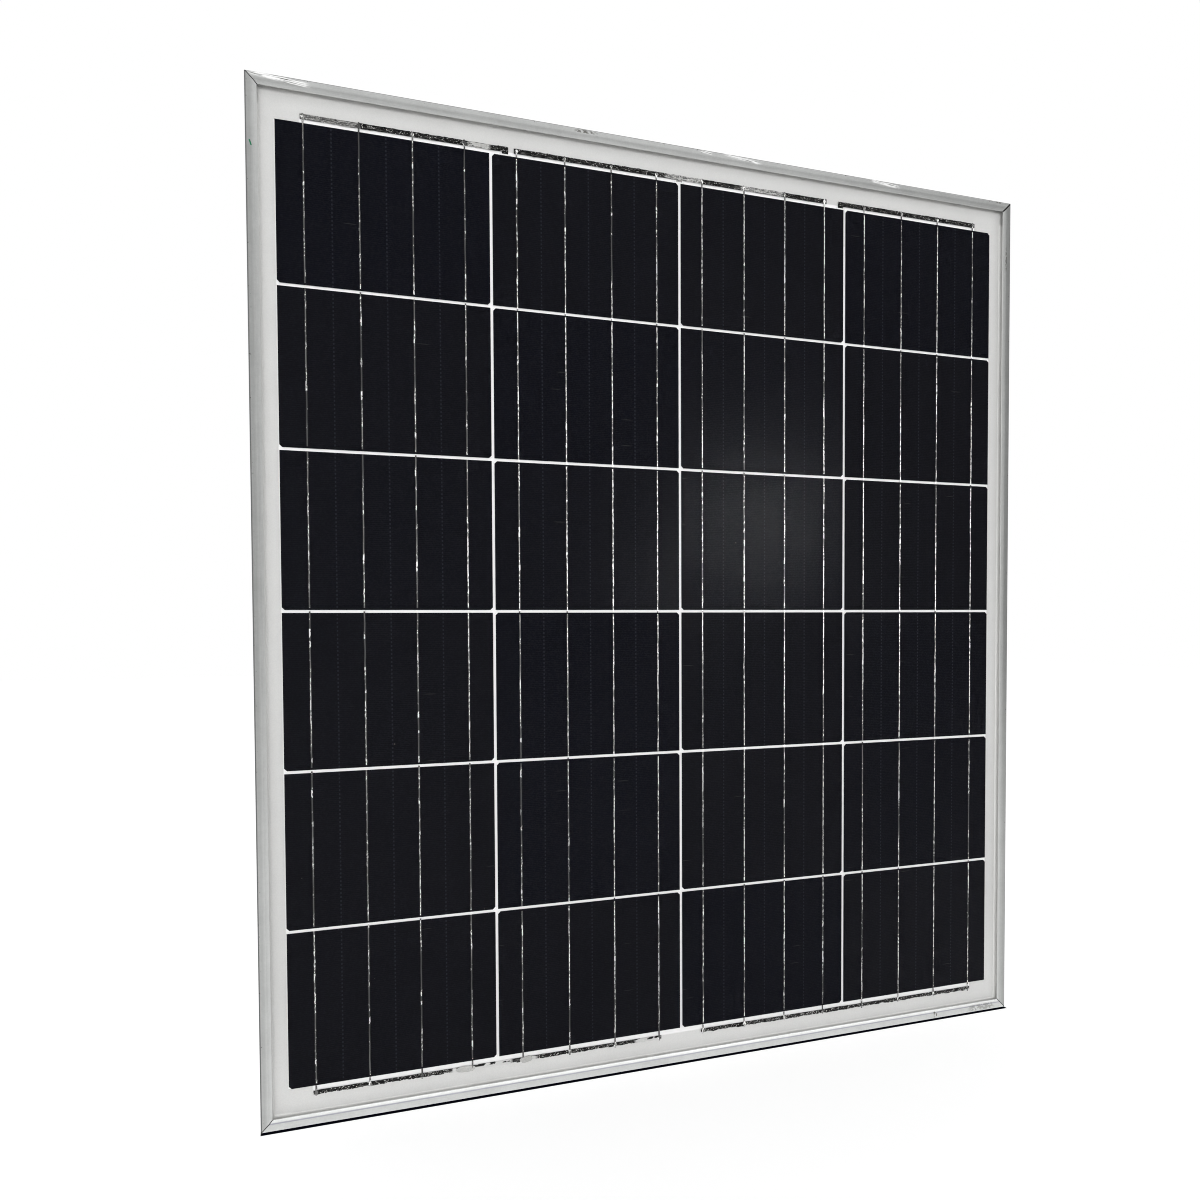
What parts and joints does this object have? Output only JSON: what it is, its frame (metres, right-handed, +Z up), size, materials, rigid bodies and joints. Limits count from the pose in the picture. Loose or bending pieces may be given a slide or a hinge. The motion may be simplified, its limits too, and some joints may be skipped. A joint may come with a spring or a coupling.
{
  "type": "solar panel",
  "caption": "Framed photovoltaic panel: dark cells in ribbon-joined strings behind glass, in a mitred aluminium frame with a junction box and mounting slots on the back.",
  "frame": {"origin": "middle of the bottom edge of the frame, at half the frame's depth", "axes": "+Z up the panel, +X to the right as seen from the front, +Y towards the back; the glass faces -Y"},
  "size_m": [0.673, 0.03, 0.768],
  "materials": {
    "anodised_frame": "satin silver anodised",
    "key_aluminium": "mill finish",
    "edge_sealant": "matte",
    "cover_glass": "finely textured, low iron",
    "encapsulant": "clear",
    "white_backsheet": "matte white",
    "silicon_cell": "blue-black, fine printed fingers",
    "tinned_ribbon": "bright solder",
    "bus_ribbon": "dark, flecked with solder",
    "insulating_film": "matte white",
    "box_plastic": "moulded, fine grain",
    "black_rubber": "matte",
    "screw_steel": "zinc plated",
    "terminal_metal": "tinned",
    "diode_epoxy": "moulded",
    "silicone_adhesive": "satin"
  },
  "bodies": {
    "panel": {"frame_rail_left": "anodised_frame", "frame_rail_right": "anodised_frame", "frame_rail_top": "anodised_frame", "frame_rail_bottom": "anodised_frame", "corner_key_top_left": "key_aluminium", "corner_key_top_right": "key_aluminium", "corner_key_bottom_left": "key_aluminium", "corner_key_bottom_right": "key_aluminium", "edge_seal": "edge_sealant", "front_glass": "cover_glass", "front_encapsulant": "encapsulant", "rear_encapsulant": "encapsulant", "backsheet": "white_backsheet", "cell_r1_c1": "silicon_cell", "cell_r1_c2": "silicon_cell", "cell_r1_c3": "silicon_cell", "cell_r1_c4": "silicon_cell", "cell_r2_c1": "silicon_cell", "cell_r2_c2": "silicon_cell", "cell_r2_c3": "silicon_cell", "cell_r2_c4": "silicon_cell", "cell_r3_c1": "silicon_cell", "cell_r3_c2": "silicon_cell", "cell_r3_c3": "silicon_cell", "cell_r3_c4": "silicon_cell", "cell_r4_c1": "silicon_cell", "cell_r4_c2": "silicon_cell", "cell_r4_c3": "silicon_cell", "cell_r4_c4": "silicon_cell", "cell_r5_c1": "silicon_cell", "cell_r5_c2": "silicon_cell", "cell_r5_c3": "silicon_cell", "cell_r5_c4": "silicon_cell", "cell_r6_c1": "silicon_cell", "cell_r6_c2": "silicon_cell", "cell_r6_c3": "silicon_cell", "cell_r6_c4": "silicon_cell", "ribbons_string_1": "tinned_ribbon", "ribbons_string_2": "tinned_ribbon", "ribbons_string_3": "tinned_ribbon", "ribbons_string_4": "tinned_ribbon", "bus_top_left": "bus_ribbon", "bus_top_middle": "bus_ribbon", "bus_top_right": "bus_ribbon", "bus_bottom_left": "bus_ribbon", "bus_bottom_right": "bus_ribbon", "lead_insulators": "insulating_film", "junction_box_base": "box_plastic", "lid_gasket": "black_rubber", "terminal_clips": "terminal_metal", "bypass_diodes": "diode_epoxy", "cable_glands": "box_plastic", "gland_seals": "black_rubber", "gland_nuts": "box_plastic", "box_adhesive": "silicone_adhesive"},
    "box_lid": {"junction_box_lid": "box_plastic", "lid_screws": "screw_steel"}
  },
  "joints": [
    {"name": "lid_lift", "type": "slide", "parent": "panel", "child": "box_lid", "axis": [0, 1, 0], "range_m": [0, 0.04]}
  ]
}
